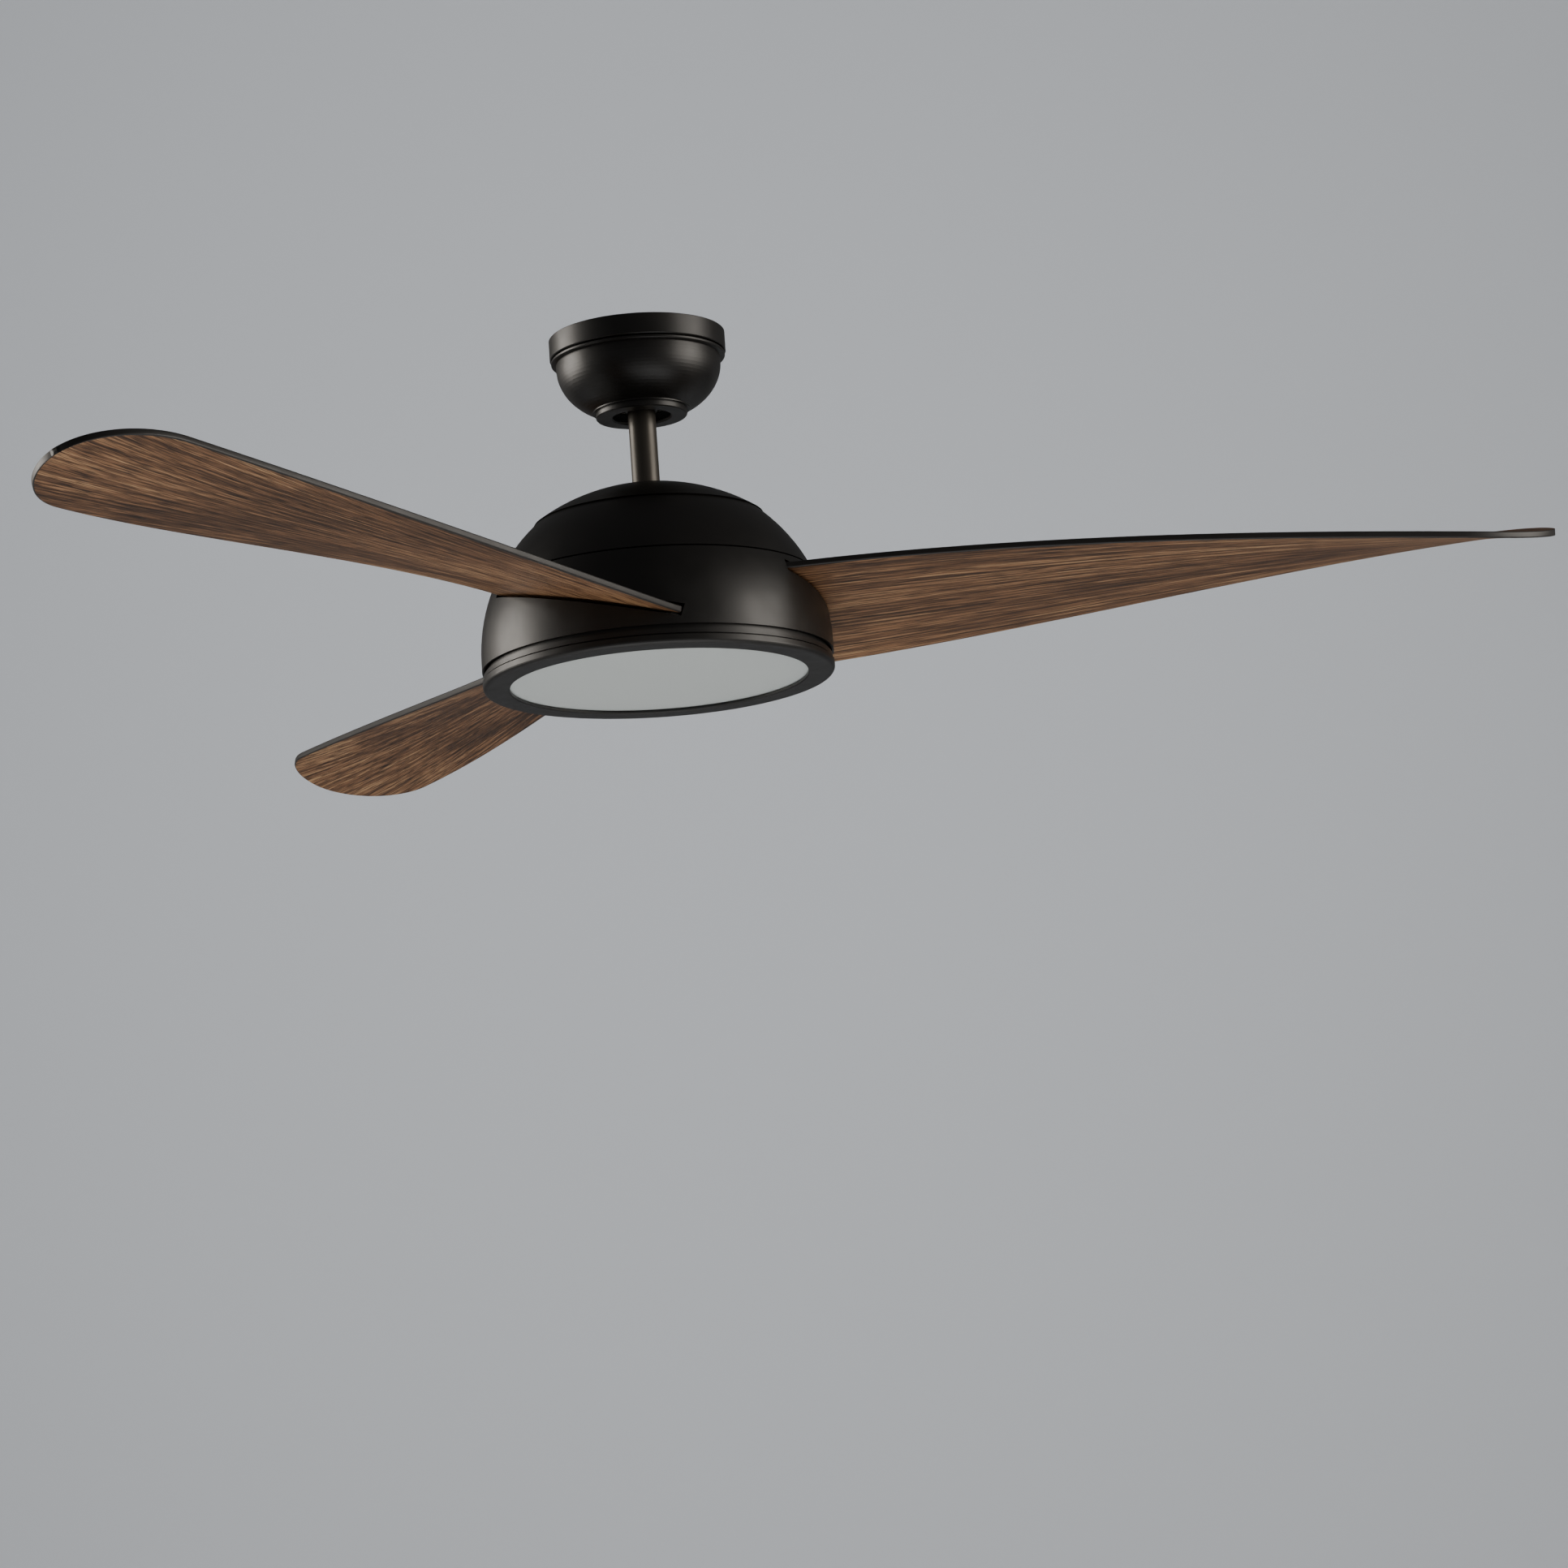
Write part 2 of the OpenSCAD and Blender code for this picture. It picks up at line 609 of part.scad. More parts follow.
// Lower-face section of the blade: across is -1 at the leading edge and 1 at the trailing edge
across = [-1, -0.5, 0, 0.5, 1];
function section(u) =
    let (h = half_v(u), s = slope(u), n = 1 / sqrt(1 + s * s))
    let (place = function (a, up) [u, mid_v(u) + a + s * n * up, mid_z(u) - s * a + n * up])
    concat(
        [for (a = across) place(a * (h - edge_break), 0)],
        [place(h, edge_break), place(h, blade_t - edge_break)],
        [for (a = across) place(-a * (h - edge_break), blade_t)],
        [place(-h, blade_t - edge_break), place(-h, edge_break)]);

root_steps = 7;
span_steps = 15;
tip_steps = 8;
blade_stations = concat(
    [for (i = [0:root_steps]) tongue_u + (planar_u - tongue_u) * i / root_steps],
    [for (i = [1:span_steps]) planar_u + (tip_u - planar_u) * i / span_steps],
    [for (i = [1:tip_steps]) tip_u + tip_round * sin(89.5 * i / tip_steps)]);

module loft(sections) {
    m = len(sections[0]);
    n = len(sections);
    polyhedron(
        points = [for (s = sections) each s],
        faces = concat(
            cap_quads(m, 0, true),
            [for (i = [0:n - 2], j = [0:m - 1]) each
                [[i * m + j, (i + 1) * m + j, (i + 1) * m + (j + 1) % m],
                 [i * m + j, (i + 1) * m + (j + 1) % m, i * m + (j + 1) % m]]],
            cap_quads(m, (n - 1) * m, false)));
}

// End face of a loft with m points, from point number base, cut in strips between its two long sides
function cap_quads(m, base, first) = [for (i = [0:m / 2 - 2])
    let (q = [base + m / 2 - 1 - i, base + m / 2 - 2 - i, base + (m / 2 + 1 + i) % m, base + m / 2 + i])
    first ? [q[0], q[3], q[2], q[1]] : q];

module blade(k) color("#6b4a33") blade_frame(k) difference() {
    loft([for (u = blade_stations) section(u)]);
    for (p = blade_screws_uv) root_plane() translate([p[0], p[1] - root_mid_v, -5]) cylinder(r = 2.3, h = 20);
}

module blade_1() blade(1);
module blade_2() blade(2);
module blade_3() blade(3);

// The web between foot and pad: corners across it, and a point on the pad's plane
web_corners = [[-15, 0], [15, 0], [15, 1], [-15, 1]];
function pad_point(u, v, up) = [u,
    root_mid_v + (v - root_mid_v) * cos(blade_pitch_angle) + up * sin(blade_pitch_angle),
    root_mid_z - (v - root_mid_v) * sin(blade_pitch_angle) + up * cos(blade_pitch_angle)];

module blade_iron(k) color("darkgray") blade_frame(k) difference() {
    foot_u = case_r - 26;
    union() {
        translate([foot_u, -15, case_low_z - iron_t]) cube([27, 30, iron_t]);
        root_plane() translate([tongue_u, -34 - root_mid_v, blade_t]) cube([iron_pad_l, 70, iron_t]);
        loft([
            [for (p = web_corners) [case_r + 0.2, p[0], case_low_z - iron_t + p[1] * iron_t]],
            [for (p = web_corners) pad_point(tongue_u + 0.5, p[0], blade_t + p[1] * iron_t)]]);
    }
    for (s = [-1, 1]) translate([case_r - 16, s * 9, 0]) bar(2 + fit, case_low_z - 5, case_low_z + 1);
    for (p = blade_screws_uv) root_plane() translate([p[0], p[1] - root_mid_v, 0]) cylinder(r = 2 + fit, h = 20);
}

module blade_iron_1() blade_iron(1);
module blade_iron_2() blade_iron(2);
module blade_iron_3() blade_iron(3);

module iron_screws() color("silver") for (k = [1:blade_n]) blade_frame(k)
    for (s = [-1, 1]) translate([case_r - 16, s * 9, 0]) mirror([0, 0, 1])
        screw(-case_low_z + iron_t, 4, 2.6, 2, iron_t + case_t);

module blade_screws() color("silver") for (k = [1:blade_n]) blade_frame(k) root_plane()
    for (p = blade_screws_uv) translate([p[0], p[1] - root_mid_v, 0]) mirror([0, 0, 1])
        screw(0, 5, 2, 2, blade_t + iron_t);

// ---- light ----

module light_pan() color("#26231f") difference() {
    top = pan_top_z + pan_rise;
    skirt_low = ring_face_z + 2.6;
    rotate_extrude() polygon([
        [shaft_r + fit, top], [pan_rise_r, top], [pan_rise_r, pan_top_z],
        [dust_lip_r - 1.2, pan_top_z], [dust_lip_r - 1.2, pan_top_z + dust_lip_h],
        [dust_lip_r, pan_top_z + dust_lip_h], [dust_lip_r, pan_top_z], [pan_r, pan_top_z],
        [pan_r, ring_top_z + 0.9], [pan_skirt_r, ring_top_z + 0.9], [pan_skirt_r, skirt_low],
        [pan_skirt_r - pan_wall, skirt_low], [pan_skirt_r - pan_wall, board_z],
        [pan_rise_r - pan_sheet, board_z], [pan_rise_r - pan_sheet, top - pan_sheet],
        [shaft_r + fit, top - pan_sheet]]);
    around(lug_n) lug_block(pan_skirt_r - 3, pan_skirt_r + 0.4, -lug_w / 2 - 3, lug_travel + lug_w / 2 + 3, 0.35);
    around(4, 45) translate([pan_rise_r + 14, 0, 0]) bar(1.5 + fit, board_z - 5, pan_top_z + 5);
}

// Arc-shaped block at a bayonet lug between two angles, widened by play above and below
module lug_block(r_in, r_out, from, to, play) {
    rotate([0, 0, from]) rotate_extrude(angle = to - from)
        translate([r_in, lug_z - 1.4 - play]) square([r_out - r_in, 1.4 + 2 * play]);
}

module light_trim_ring() color("#2b2824") {
    rotate_extrude() polygon(concat(
        [[ring_r - ring_wall, ring_top_z - 0.1], [ring_r - 0.3, ring_top_z - 0.1], [ring_r, ring_top_z - 0.4]],
        [for (a = [0:15:90]) [ring_r - ring_round * (1 - cos(a)), ring_face_z + ring_round * (1 - sin(a))]],
        [[lens_r + 1, ring_face_z], [lens_r, ring_face_z + 0.8], [lens_r, lens_z - 0.7],
         [lens_edge_r, lens_z - 0.7], [lens_edge_r, lens_z + lens_t], [lens_edge_r + 1.4, lens_z + lens_t],
         [lens_edge_r + 1.4, ring_face_z + 1.6], [ring_r - ring_wall - 1, ring_face_z + 1.6],
         [ring_r - ring_wall, ring_face_z + 2.6]]));
    around(lug_n) lug_block(pan_skirt_r - pan_wall - 0.8, ring_r - ring_wall + 0.2, -lug_w / 2, lug_w / 2, 0);
}

module lens_gasket() color("black") tube(lens_edge_r - 0.4, lens_r + 1.5, lens_z - 0.7, lens_z);

module lens() color("#e9e9e2") bar(lens_edge_r - 0.2, lens_z, lens_z + lens_t);

module led_board() color("gainsboro") difference() {
    bar(lens_r - 6, board_z - board_t, board_z);
    around(4, 45) translate([pan_rise_r + 14, 0, 0]) bar(1.5 + fit, board_z - 5, board_z + 1);
}

module leds() color("#f2d24a") for (ring = [1:led_rings]) {
    r = (lens_r - 16) * ring / led_rings;
    n = 6 * ring;
    around(n, 7 * ring) translate([r - 1.4, -1.4, board_z - board_t - 0.7]) cube([2.8, 2.8, 0.7]);
}

module board_screws() color("silver") around(4, 45) translate([pan_rise_r + 14, 0, 0]) mirror([0, 0, 1])
    screw(-board_z + board_t, 2.8, 1.4, 1.5, board_t + pan_sheet);

module pan_washer() color("silver")
    tube(13, shaft_r + 0.2, pan_top_z + pan_rise - pan_sheet - 1, pan_top_z + pan_rise - pan_sheet);

module pan_nut() color("goldenrod") difference() {
    translate([0, 0, pan_top_z + pan_rise - pan_sheet - 5]) cylinder(r = 13.5, h = 4, $fn = 6);
    bar(shaft_r + fit, shaft_end_z - 5, pan_top_z + pan_rise);
}

module led_driver() color("#e4e4e0")
    translate([-62, -24, board_z + 1.2]) cube([38, 48, pan_rise - 1.2]);

// ---- leads through the rod and the hollow shaft ----

lead_route = [[0, lead_off, rod_top_z + 2], [0, lead_off, ball_z], [0, lead_off, yoke_pin_z],
    [0, lead_off - 0.4, rod_end_z + 6], [0, 2.8, rod_end_z - 0.6], [0, 2.6, seat_z - 6],
    [0, 2.6, core_top_z], [0, 2.6, shaft_end_z + 4], [-2, 2.4, shaft_end_z - 1.2],
    [-8, 2, shaft_end_z - 2.6], [-24, 0, shaft_end_z - 2.6]];
lead_sides = 8;
lead_steps = 4;

// Point on the smooth curve through the route, between stops i and i + 1
function route_at(i, t) =
    let (n = len(lead_route) - 1)
    let (a = lead_route[max(0, i - 1)], b = lead_route[i], c = lead_route[i + 1], d = lead_route[min(n, i + 2)])
    let (m1 = (c - a) / 2 * min(1, 2 * norm(c - b) / norm(c - a)))
    let (m2 = (d - b) / 2 * min(1, 2 * norm(c - b) / norm(d - b)))
    b * (2 * pow(t, 3) - 3 * t * t + 1) + m1 * (pow(t, 3) - 2 * t * t + t)
        + c * (3 * t * t - 2 * pow(t, 3)) + m2 * (pow(t, 3) - t * t);
function unit(v) = v / norm(v);

module lead_harness() color("#d8d4c8") {
    n = len(lead_route) - 1;
    pts = concat([for (i = [0:n - 1], j = [0:lead_steps - 1]) route_at(i, j / lead_steps)], [lead_route[n]]);
    last = len(pts) - 1;
    tangents = [for (i = [0:last]) unit(pts[min(last, i + 1)] - pts[max(0, i - 1)])];
    side = [for (t = tangents) unit(cross([0, 1, 0], t))];
    loft([for (i = [0:last]) [for (k = [0:lead_sides - 1])
        let (a = -360 * k / lead_sides)
        pts[i] + lead_r * (cos(a) * side[i] + sin(a) * cross(tangents[i], side[i]))]]);
}

module harness_connector() color("ivory")
    translate([-6, lead_off - 4, rod_top_z + 2]) cube([12, 8, 8]);

hanger_bracket();
terminal_block();
ground_screw();
canopy();
canopy_collar();
canopy_screws();
canopy_screw_cover();
socket_liner();
hanger_ball();
ball_pin();
ball_set_screw();
downrod();
motor_yoke();
yoke_pin();
yoke_cotter();
yoke_set_screws();
coupling_cover();
upper_housing();
housing_screws();
control_module();
motor_shaft();
stator_core();
stator_windings();
upper_bearing_inner();
lower_bearing_inner();
lead_harness();
harness_connector();
light_pan();
pan_washer();
pan_nut();
led_driver();
led_board();
leds();
board_screws();
rotor_upper_case();
rotor_lower_case();
rotor_magnets();
upper_bearing_outer();
lower_bearing_outer();
upper_bearing_balls();
lower_bearing_balls();
case_screws();
shell_carrier();
rotor_shell();
shell_screws();
blade_iron_1();
blade_iron_2();
blade_iron_3();
blade_1();
blade_2();
blade_3();
iron_screws();
blade_screws();
light_trim_ring();
lens_gasket();
lens();
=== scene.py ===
# %% [markdown]
# # Ceiling fan with a flat LED light: the visible model
# The assembled design is loaded as the frame, and this script only makes it look like the real
# thing: finishes on every sub-part, and finer surfaces where the eye rests longest. Metres, +Z up,
# the origin on the fan's axis in the ceiling plane.

# %% Load the frame
import json
import math
import bpy
import numpy as np
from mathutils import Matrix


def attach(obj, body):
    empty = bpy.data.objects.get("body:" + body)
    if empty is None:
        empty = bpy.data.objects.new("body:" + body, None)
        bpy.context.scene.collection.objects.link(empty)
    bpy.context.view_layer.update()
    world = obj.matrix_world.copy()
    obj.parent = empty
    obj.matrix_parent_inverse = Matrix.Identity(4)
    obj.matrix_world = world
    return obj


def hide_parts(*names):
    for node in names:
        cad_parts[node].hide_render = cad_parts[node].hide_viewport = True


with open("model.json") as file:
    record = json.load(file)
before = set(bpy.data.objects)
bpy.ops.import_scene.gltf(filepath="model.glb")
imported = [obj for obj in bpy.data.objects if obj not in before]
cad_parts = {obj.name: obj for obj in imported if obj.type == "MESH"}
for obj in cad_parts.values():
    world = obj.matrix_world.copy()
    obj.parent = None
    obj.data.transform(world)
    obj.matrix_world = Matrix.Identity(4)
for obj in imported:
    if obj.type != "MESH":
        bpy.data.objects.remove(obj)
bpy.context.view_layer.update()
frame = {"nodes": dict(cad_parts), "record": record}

# %% [markdown]
# Colours are written as ordinary sRGB hex values. A shader works in linear light, so each one goes
# through the standard sRGB curve once: c/12.92 below 0.04045, ((c + 0.055)/1.055)^2.4 above.

# %% Colour and node helpers
def rgb(code):
    """Linear RGBA of an sRGB hex string: ((c + 0.055)/1.055)^2.4, or c/12.92 for the darkest."""
    c = np.array([int(code[i:i + 2], 16) / 255 for i in (1, 3, 5)])
    lin = np.where(c <= 0.04045, c / 12.92, ((c + 0.055) / 1.055) ** 2.4)
    return (*[float(v) for v in lin], 1.0)


def add(mat, kind, links=(), **values):
    """One shader node of that kind in a material or world. Values set its sockets or its own
    settings by name, and each link is (socket to feed, output that feeds it)."""
    n = mat.node_tree.nodes.new("ShaderNode" + kind)
    for key, value in values.items():
        name = key.replace("_", " ")
        if name in n.inputs:
            n.inputs[name].default_value = value
        else:
            setattr(n, key, value)
    for socket, source in links:
        mat.node_tree.links.new(source, n.inputs[socket])
    return n


def ramp(mat, source, stops):
    """A colour ramp over source with (place, hex colour) stops."""
    n = add(mat, "ValToRGB", [("Fac", source)])
    e = n.color_ramp.elements
    while len(e) < len(stops):
        e.new(0.5)
    for item, (place, code) in zip(e, stops):
        item.position = place
        item.color = rgb(code)
    return n.outputs["Color"]


def new_material(name):
    """An empty material with its Principled shader, which is returned with it."""
    mat = bpy.data.materials.new(name)
    mat.use_nodes = True
    return mat, mat.node_tree.nodes["Principled BSDF"]


def scaled_coords(mat, size_mm, attribute=None):
    """Coordinates in which one unit is size_mm (x, y, z): places divided by that size."""
    if attribute:
        source = add(mat, "Attribute", attribute_name=attribute).outputs["Vector"]
    else:
        source = add(mat, "TexCoord").outputs["Object"]
    scale = [1000.0 / s for s in size_mm]
    return add(mat, "Mapping", [("Vector", source)], Scale=scale).outputs["Vector"]


def feed(mat, node, socket, output):
    """Link an output to a socket of a node that is there already."""
    mat.node_tree.links.new(output, node.inputs[socket])


# %% [markdown]
# **Powder-coated bronze.** The canopy, rod and housing are pressed steel under a nearly black warm
# powder coat. The coat has a fine orange peel, 0.6 mm from crest to crest, which breaks each
# highlight into a soft satin sheen, and a slow drift of roughness keeps large curves from looking
# like plastic.

# %% Painted and plain finishes
def coated(name, code, rough, peel_mm=0.6, peel=0.05, metallic=0.0, coat=0.0):
    """Satin coat: base colour, roughness rough +- 0.05 over 30 mm, and a fine peel as bump."""
    mat, bsdf = new_material(name)
    drift = add(mat, "TexNoise", [("Vector", scaled_coords(mat, (30, 30, 30)))], Scale=1.0, Detail=3.0)
    span = add(mat, "MapRange", [("Value", drift.outputs["Fac"])], From_Min=0.3, From_Max=0.7,
               To_Min=rough - 0.05, To_Max=rough + 0.05)
    feed(mat, bsdf, "Roughness", span.outputs["Result"])
    fine = add(mat, "TexNoise", [("Vector", scaled_coords(mat, (peel_mm,) * 3))], Scale=1.0, Detail=2.0)
    bump = add(mat, "Bump", [("Height", fine.outputs["Fac"])], Strength=peel, Distance=0.00005)
    feed(mat, bsdf, "Normal", bump.outputs["Normal"])
    bsdf.inputs["Base Color"].default_value = rgb(code)
    bsdf.inputs["Metallic"].default_value = metallic
    bsdf.inputs["Coat Weight"].default_value = coat
    return mat


finishes = {
    "bronze_paint": coated("powder coated bronze", "#110f0d", 0.4),
    # Painted light: the rod's own coat is the nearly black bronze, and this lighter, half-metallic copy
    # paints in its sheen.
    "rod_painted_light": coated("rod coat lightened as painted light", "#4a4640", 0.4, metallic=0.5),
    "ball_enamel": coated("black enamelled ball", "#0d0d0c", 0.28),
    "zinc_steel": coated("zinc plated steel", "#b9b8b2", 0.34, metallic=1.0),
    "bearing_steel": coated("ground bearing steel", "#c6c8cb", 0.16, metallic=1.0, peel=0.0),
    "cast_iron_yoke": coated("oiled cast iron", "#4c4b49", 0.6, 1.2, 0.3, metallic=0.7),
    "ferrite": coated("sintered ferrite", "#38383a", 0.7, 0.8, 0.2),
    "cast_aluminium": coated("die cast aluminium", "#a3a3a1", 0.5, 1.0, 0.25, metallic=0.9),
    "copper_wire": coated("lacquered copper wire", "#a65a2c", 0.3, 0.5, 0.4, metallic=0.9),
    "brass_nut": coated("turned brass", "#b9954f", 0.3, metallic=1.0),
    "green_screw": coated("green lacquered screw", "#1d6b38", 0.4, metallic=0.4),
    "white_plastic": coated("moulded white nylon", "#dcdad2", 0.5),
    "dark_plastic": coated("moulded dark plastic", "#26292b", 0.55),
    "led_phosphor": coated("yellow phosphor gel", "#e5c454", 0.3, coat=0.3),
    "lead_sheath": coated("woven glass sleeve", "#c8c3b4", 0.75, 0.9, 0.5),
    "gasket_rubber": coated("moulded rubber", "#141414", 0.75),
}
print("plain finishes:", len(finishes))

# %% [markdown]
# **Opal acrylic lens.** It is unlit, so it reads as an even light grey disc with a very slight
# depth. Subsurface scattering over 2 mm gives the milky edge, and a satin face blurs reflections.

# %% Lens finish
opal, shader = new_material("opal acrylic")
shader.inputs["Base Color"].default_value = rgb("#d6dcda")
shader.inputs["Roughness"].default_value = 0.42
shader.inputs["Subsurface Weight"].default_value = 0.25
shader.inputs["Subsurface Radius"].default_value = (0.002, 0.002, 0.002)
shader.inputs["Subsurface Scale"].default_value = 1.0
finishes["opal_acrylic"] = opal

# %% [markdown]
# **Walnut veneer on the blades.** Grain is stretched noise: the pattern is 110 mm long and 2.2 mm
# wide, so it makes streaks that run along the blade, and a slower noise bends the streaks a
# little. Darker pore lines are a second, much finer stretch. Each blade carries its own (along,
# across, blade number) coordinate, so the grain follows the blade and never repeats between
# blades.

# %% Blade finishes
BEND = 1.6  # how many streak widths the slow noise moves a streak sideways


def walnut():
    """Streaks = noise(along/110 mm, across/2.2 mm), tone = ramp(0.7 streaks + 0.3 slow drift)."""
    mat, bsdf = new_material("walnut veneer")
    place = scaled_coords(mat, (420, 60, 1000), "grain")
    bend = add(mat, "TexNoise", [("Vector", place)], Scale=1.0, Detail=2.0)
    long = scaled_coords(mat, (110, 2.2, 1000), "grain")
    wavy = add(mat, "VectorMath", [(0, bend.outputs["Color"])], operation="MULTIPLY")
    wavy.inputs[1].default_value = (0.0, BEND, 0.0)
    moved = add(mat, "VectorMath", [(0, long), (1, wavy.outputs[0])], operation="ADD")
    streak = add(mat, "TexNoise", [("Vector", moved.outputs[0])], Scale=1.0, Detail=6.0, Roughness=0.62)
    pores = add(mat, "TexNoise", [("Vector", scaled_coords(mat, (26, 0.8, 1000), "grain"))],
                Scale=1.0, Detail=3.0, Roughness=0.6)
    slow = add(mat, "Mix", [("A", streak.outputs["Fac"]), ("B", bend.outputs["Fac"])], Factor=0.3)
    browns = [(0.39, "#3a2719"), (0.47, "#6b4b33"), (0.53, "#8f6747"), (0.63, "#c19a70")]
    tone = ramp(mat, slow.outputs[0], browns)
    line = ramp(mat, pores.outputs["Fac"], [(0.40, "#3d2c20"), (0.52, "#ffffff")])
    both = add(mat, "Mix", [(6, tone), (7, line)], data_type="RGBA", blend_type="MULTIPLY", Factor=0.85)
    feed(mat, bsdf, "Base Color", both.outputs[2])
    bump = add(mat, "Bump", [("Height", pores.outputs["Fac"])], Strength=0.12, Distance=0.00015)
    feed(mat, bsdf, "Normal", bump.outputs["Normal"])
    bsdf.inputs["Roughness"].default_value = 0.5
    bsdf.inputs["Specular IOR Level"].default_value = 0.3
    return mat


veneer = walnut()
edge_paint = coated("blade edge lacquer", "#1d1a18", 0.45, 0.9, 0.2)
finishes["walnut"] = veneer

# %% [markdown]
# Every sub-part of the frame takes the finish of its own material slot, except that the rod takes a
# lighter, half-metallic copy of the bronze coat: painted light, a sheen laid into its colour. Nothing
# here moves or reshapes a sub-part: only the surface changes.

# %% Finishes on the frame
slots = {row["node"]: row["material_slot"] for row in frame["record"]["subparts"]}
for name, obj in frame["nodes"].items():
    obj.data.materials.clear()
    # The rod takes the lighter copy of the coat, a painted sheen.
    obj.data.materials.append(finishes["rod_painted_light" if name == "downrod" else slots[name]])
print("finished nodes:", len(slots))

# %% [markdown]
# **Blades.** Each blade is a thin board: flat at the root, then it untwists and turns the other
# way towards a round tip. Finer blades replace the faceted ones. One surface is a function of two
# parameters: s runs along the blade, and q runs once round the section, over the underside, round
# the trailing edge, back over the top and round the leading edge. The edges have a small round,
# so they catch a thin line of light.

# %% Blade surface
SWEEP, THICK, TIP = 0.6859, 0.005, 0.075        # reach of the tip, board, length of the rounded tip
ROOT_U, PLANAR_U = 0.0655, 0.110                # start of the tongue, end of the flat root
TONGUE_HALF, TONGUE_L = 0.038, 0.022            # half width and straight length of the tongue
TRAIL_ROOT, LEAD_ROOT = 0.088, -0.073           # the two edges where the blade leaves the housing
ROOT_SLOPE, SLOPE_CHANGE = 0.262, -0.562        # slope at the root, and its change by the tip
ROOT_RISE, TIP_RISE = 0.0206, 0.0135            # root above the dome's centre, tip above the root
EDGE_ROUND = 0.0012
TURN, BLADES = -2.5, 3
DOME_R, SEAM_R, SEAM_Z = 0.1344, 0.087, -0.148  # dome, and the seam under the coupling cover
dome_z = SEAM_Z - math.sqrt(DOME_R ** 2 - SEAM_R ** 2)


def bezier(p, t):
    """Cubic curve: p0(1-t)^3 + 3p1 t(1-t)^2 + 3p2 t^2(1-t) + p3 t^3."""
    return (p[0] * (1 - t) ** 3 + 3 * p[1] * t * (1 - t) ** 2
            + 3 * p[2] * t ** 2 * (1 - t) + p[3] * t ** 3)


def blade_shape(u):
    """Middle, half width, slope and lower-face height of the blade at distance u from the axis:
    edges are cubic curves of span = (u - flat)/(sweep - flat), the half width is times
    sqrt(1 - ((u - tip start)/tip)^2), slope = root slope + change * span^1.5."""
    span = np.clip((u - PLANAR_U) / (SWEEP - PLANAR_U), 0, 1)
    trail = bezier([TRAIL_ROOT, 0.078, 0.036, 0.030], span)
    lead = bezier([LEAD_ROOT, -0.082, -0.110, -0.070], span)
    width = (trail - lead) / 2
    full = PLANAR_U - 0.008
    x = np.clip((u - ROOT_U - TONGUE_L) / (full - TONGUE_L - ROOT_U), 0, 1)
    widen = np.where(u >= full, 1.0, (1 - np.cos(np.pi * x)) / 2)
    tip = np.sqrt(np.clip(1 - (np.clip(u - SWEEP + TIP, 0, None) / TIP) ** 2, 0, 1))
    middle = widen * (trail + lead) / 2
    half = np.maximum(THICK / 2, tip * (TONGUE_HALF + widen * (width - TONGUE_HALF)))
    slope = ROOT_SLOPE + SLOPE_CHANGE * span ** 1.5
    root_middle = (TRAIL_ROOT + LEAD_ROOT) / 2
    height = dome_z + ROOT_RISE + TIP_RISE * (1 - (1 - span) ** 2)
    height = height + slope * np.where(u < PLANAR_U, root_middle - middle, 0)
    return middle, half, slope, height


def section(n_face=25, n_edge=7, r=EDGE_ROUND):
    """Section round the board as (side from -1 to 1, inset from that edge, height 0 to THICK):
    straight faces, and corners turned on a radius r."""
    faces = np.linspace(-1, 1, n_face)
    turn = np.linspace(0, np.pi / 2, n_edge)[1:-1]
    rows = [(a, -a * r, 0.0) for a in faces]
    rows += [(1, -r + r * math.sin(t), r - r * math.cos(t)) for t in turn]
    rows += [(1, 0.0, r), (1, 0.0, THICK - r)]
    rows += [(1, -r + r * math.cos(t), THICK - r + r * math.sin(t)) for t in turn]
    rows += [(-a, a * r, THICK) for a in faces]
    rows += [(-1, r - r * math.sin(t), THICK - r + r * math.cos(t)) for t in turn]
    rows += [(-1, 0.0, THICK - r), (-1, 0.0, r)]
    rows += [(-1, r - r * math.cos(t), r - r * math.sin(t)) for t in turn]
    return np.array(rows)


def blade_grid():
    """Points on the board: v = middle + side*half + inset + slope*n*h and
    z = height - slope*(side*half + inset) + n*h, with n = 1/sqrt(1 + slope^2)."""
    root = np.linspace(ROOT_U, PLANAR_U, 24)[:-1]
    board = np.linspace(PLANAR_U, SWEEP - TIP, 120)
    tip = SWEEP - TIP + TIP * np.sin(np.radians(np.linspace(0, 89.5, 40)[1:]))
    u = np.concatenate([root, board, tip])[:, None]
    ring = section()
    middle, half, slope, height = blade_shape(u)
    n = 1 / np.sqrt(1 + slope ** 2)
    across = ring[:, 0] * half + ring[:, 1]
    v = middle + across + slope * n * ring[:, 2]
    z = height - slope * across + n * ring[:, 2]
    return np.broadcast_to(u, v.shape), v, z, across, ring


def closed_mesh(name, points):
    """Smooth mesh of a grid that is closed round its second direction, with an end cap at both ends.
    Quad (i, j) joins (i, j), (i, j+1), (i+1, j+1), (i+1, j)."""
    rows, cols, _ = points.shape
    i, j = np.meshgrid(np.arange(rows - 1), np.arange(cols), indexing="ij")
    k = (j + 1) % cols
    quads = np.stack([i * cols + j, (i + 1) * cols + j, (i + 1) * cols + k, i * cols + k], -1)
    faces = [tuple(f) for f in quads.reshape(-1, 4).tolist()]
    faces.append(tuple(range(cols)))
    faces.append(tuple(reversed(range((rows - 1) * cols, rows * cols))))
    mesh = bpy.data.meshes.new(name)
    mesh.from_pydata(points.reshape(-1, 3).tolist(), [], faces)
    mesh.validate()
    mesh.polygons.foreach_set("use_smooth", [True] * len(mesh.polygons))
    obj = bpy.data.objects.new(name, mesh)
    bpy.context.scene.collection.objects.link(obj)
    return obj


# %% [markdown]
# The grain coordinate is (distance along, distance across, a different offset for each blade).
# The underside and top are veneered, and the cut edge is lacquered dark, so faces between the two
# broad sides take the edge finish.

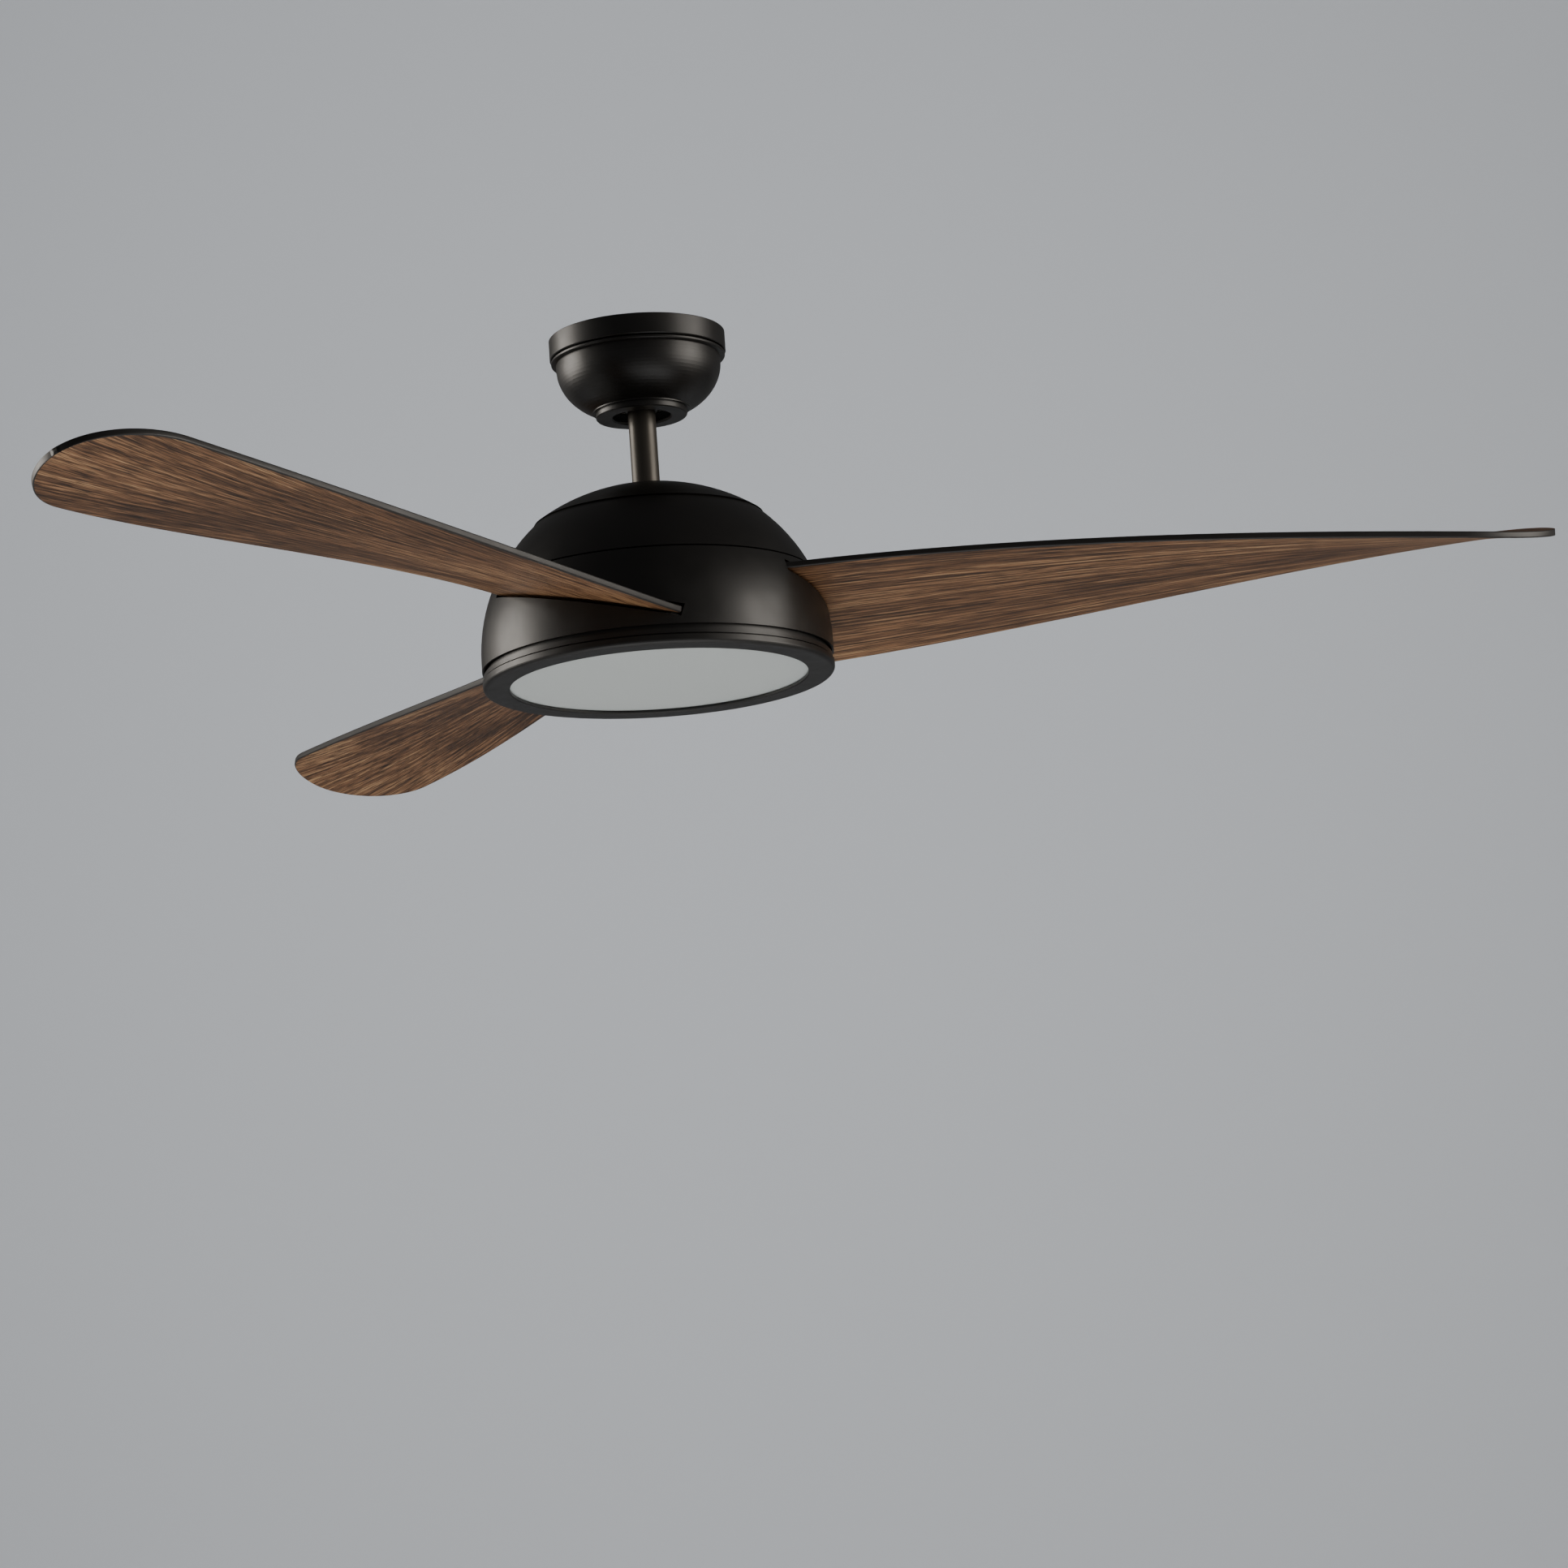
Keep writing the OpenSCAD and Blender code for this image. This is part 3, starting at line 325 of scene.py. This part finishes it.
# %% Make the blades
u, v, z, across, ring = blade_grid()
for k in range(1, BLADES + 1):
    a = math.radians(TURN + 360 / BLADES * (k - 1))
    points = np.stack([u * math.cos(a) - v * math.sin(a), u * math.sin(a) + v * math.cos(a), z], -1)
    blade = closed_mesh("fine_blade_%d" % k, points)
    shift = 0.31 * k + 0.4 * (ring[:, 2] > THICK / 2)
    grain = np.stack([u + 0.9 * k, across + shift, np.full(u.shape, 0.37 * k)], -1)
    mark = blade.data.attributes.new("grain", "FLOAT_VECTOR", "POINT")
    mark.data.foreach_set("vector", grain.astype(np.float32).ravel())
    blade.data.materials.append(veneer)
    blade.data.materials.append(edge_paint)
    cols = len(ring)
    is_face = (ring[:, 2] == 0) | (ring[:, 2] == THICK)
    edge = ~(is_face & np.roll(is_face, -1) & (ring[:, 2] == np.roll(ring[:, 2], -1)))
    index = np.concatenate([np.tile(edge, u.shape[0] - 1), [True, True]]).astype(np.int32)
    blade.data.polygons.foreach_set("material_index", index)
    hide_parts("blade_%d" % k)
    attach(blade, "rotor")
    reach = np.hypot(points[..., 0], points[..., 1]).max()
    print(blade.name, len(blade.data.vertices), "points, reach %.4f m" % reach)

# %% [markdown]
# **Light and surroundings.** A pale backdrop stands behind the fan with its own wash of light. Two
# soft boxes at the sides draw long warm-grey highlights down the flanks of the dark housing, and a
# weak bounce from below opens the blades' undersides. The world is dark above and grey below, and
# the backdrop is left out of reflections, so that the top of the dome stays nearly black. The
# backdrop is clear from behind, so the fan can be looked at from every side.

# %% Surroundings
def plane(name, size, place, turn):
    """Square sheet for the surroundings."""
    bpy.ops.mesh.primitive_plane_add(size=size, location=place, rotation=turn)
    obj = bpy.context.object
    obj.name = name
    return obj


backdrop = plane("backdrop", 30, (0, 5.0, 0), (math.radians(90), 0, 0))
floor = plane("floor", 30, (0, 0, -2.6), (0, 0, 0))
wall, shade = new_material("matt studio paper")
shade.inputs["Base Color"].default_value = rgb("#dfe2e5")
shade.inputs["Roughness"].default_value = 0.9
floor.data.materials.append(wall)
sheet, shade = new_material("one sided backdrop")
shade.inputs["Base Color"].default_value = rgb("#dadfe6")
shade.inputs["Roughness"].default_value = 0.9
clear = add(sheet, "BsdfTransparent")
side = add(sheet, "MixShader", [(0, add(sheet, "NewGeometry").outputs["Backfacing"]),
                                (1, shade.outputs["BSDF"]), (2, clear.outputs["BSDF"])])
feed(sheet, sheet.node_tree.nodes["Material Output"], "Surface", side.outputs["Shader"])
backdrop.data.materials.append(sheet)


def area(name, place, target, size, power, tint=(1.0, 1.0, 1.0)):
    """Square area light at place, facing target."""
    data = bpy.data.lights.new(name, "AREA")
    data.size = size
    data.energy = power
    data.color = tint
    obj = bpy.data.objects.new(name, data)
    obj.location = place
    way = np.array(target, float) - np.array(place, float)
    way /= np.linalg.norm(way)
    obj.rotation_euler = (math.acos(-way[2]), 0, math.atan2(-way[0], way[1]))
    bpy.context.scene.collection.objects.link(obj)
    return obj


warm = (1.0, 0.94, 0.86)
area("left soft box", (-3.1, 0.8, 0.15), (0, 0, -0.25), 1.9, 84, warm)
area("right soft box", (3.0, -0.8, 0.0), (0, 0, -0.25), 2.2, 78, warm)
area("low bounce", (0, -0.6, -2.4), (0, 0, -0.25), 3.0, 31)
area("backdrop wash", (0, 1.0, 1.2), (0, 5.0, 1.2), 3.0, 66)
backdrop.visible_glossy = False
world = bpy.data.worlds.new("studio")
world.use_nodes = True
split = add(world, "SeparateXYZ", [("Vector", add(world, "TexCoord").outputs["Generated"])])
fade = add(world, "MapRange", [("Value", split.outputs["Z"])], From_Min=-0.8, From_Max=0.25,
           To_Min=0.42, To_Max=0.1)
sky = world.node_tree.nodes["Background"]
sky.inputs["Color"].default_value = rgb("#e6e7e9")
feed(world, sky, "Strength", fade.outputs["Result"])
bpy.context.scene.world = world

# %% [markdown]
# **Camera.** A long lens, nearly 4 m in front and 1.1 m below the ceiling plane, looking 11
# degrees up and rolled 4 degrees. Its axes come straight from those angles.

# %% Camera
yaw, pitch, roll = 0.02267, 0.19152, -0.07102
FOCAL_TO_WIDTH = 6500 / 1932  # focal length over sensor width
ahead = np.array([math.sin(yaw) * math.cos(pitch), math.cos(yaw) * math.cos(pitch), math.sin(pitch)])
right0 = np.array([math.cos(yaw), -math.sin(yaw), 0.0])
up0 = np.cross(right0, ahead)
right = right0 * math.cos(roll) + up0 * math.sin(roll)
up = -right0 * math.sin(roll) + up0 * math.cos(roll)
lens = bpy.data.cameras.new("camera")
lens.sensor_width = 36.0
lens.lens = FOCAL_TO_WIDTH * lens.sensor_width
lens.clip_end = 100
camera = bpy.data.objects.new("camera", lens)
turn = np.eye(4)
turn[:3, 0], turn[:3, 1], turn[:3, 2] = right, up, -ahead
turn[:3, 3] = (0.0, -3.932, -1.1215)
camera.matrix_world = [[float(v) for v in row] for row in turn.T]
bpy.context.scene.collection.objects.link(camera)
bpy.context.scene.camera = camera
